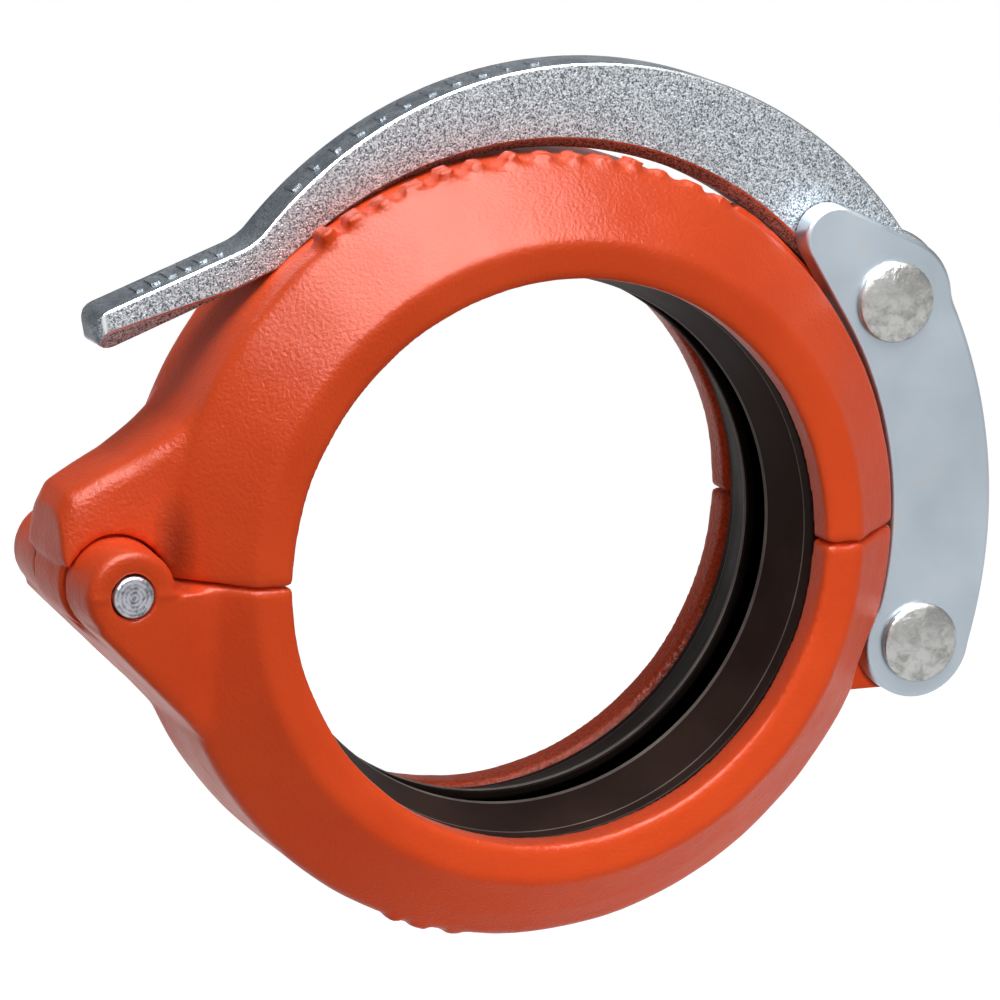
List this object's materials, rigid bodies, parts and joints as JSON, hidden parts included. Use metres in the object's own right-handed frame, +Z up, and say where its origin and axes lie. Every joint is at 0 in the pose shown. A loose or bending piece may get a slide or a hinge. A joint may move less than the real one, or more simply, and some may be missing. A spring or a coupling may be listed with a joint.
{
  "type": "grooved pipe coupling",
  "caption": "Hinged ring coupling for grooved pipe: cast housing halves, rubber gasket, link plates and a curved over-centre lever that locks it shut.",
  "frame": {"origin": "on the pipe axis, midway between the two side faces", "axes": "+Y along the pipe, away from the side in the picture; +X towards the lever's rivets; +Z up, square to the parting line"},
  "size_m": [0.1949, 0.0554, 0.1698],
  "materials": {
    "housing_paint": "gloss orange enamel on a rough casting",
    "gasket_rubber": "moulded black rubber",
    "plate_steel": "satin zinc plate on stamped steel",
    "lever_steel": "zinc plate on a blasted forging",
    "rivet_steel": "zinc plated rivet",
    "pin_steel": "zinc plated pin with peened ends"
  },
  "bodies": {
    "lower": {"lower_housing": "housing_paint", "gasket": "gasket_rubber", "hinge_pin": "pin_steel"},
    "upper": {"upper_housing": "housing_paint"},
    "links": {"front_link": "plate_steel", "rear_link": "plate_steel", "lever_rivet": "rivet_steel", "link_rivet": "rivet_steel"},
    "lever": {"locking_lever": "lever_steel"}
  },
  "joints": [
    {"name": "housing_hinge", "type": "hinge", "parent": "lower", "child": "upper", "pos_m": [-0.0855, 0, -0.001], "axis": [0, -1, 0], "range_deg": [0, 48]},
    {"name": "link_swing", "type": "hinge", "parent": "lower", "child": "links", "pos_m": [0.08468, 0, -0.02573], "axis": [0, 1, 0], "range_deg": [0, 180]},
    {"name": "lever_pivot", "type": "hinge", "parent": "links", "child": "lever", "pos_m": [0.07672, 0, 0.04412], "axis": [0, 1, 0], "range_deg": [0, 120]}
  ],
  "couplings": [
    {"joint": "link_swing", "follows": "housing_hinge", "ratio": 3.75}
  ]
}
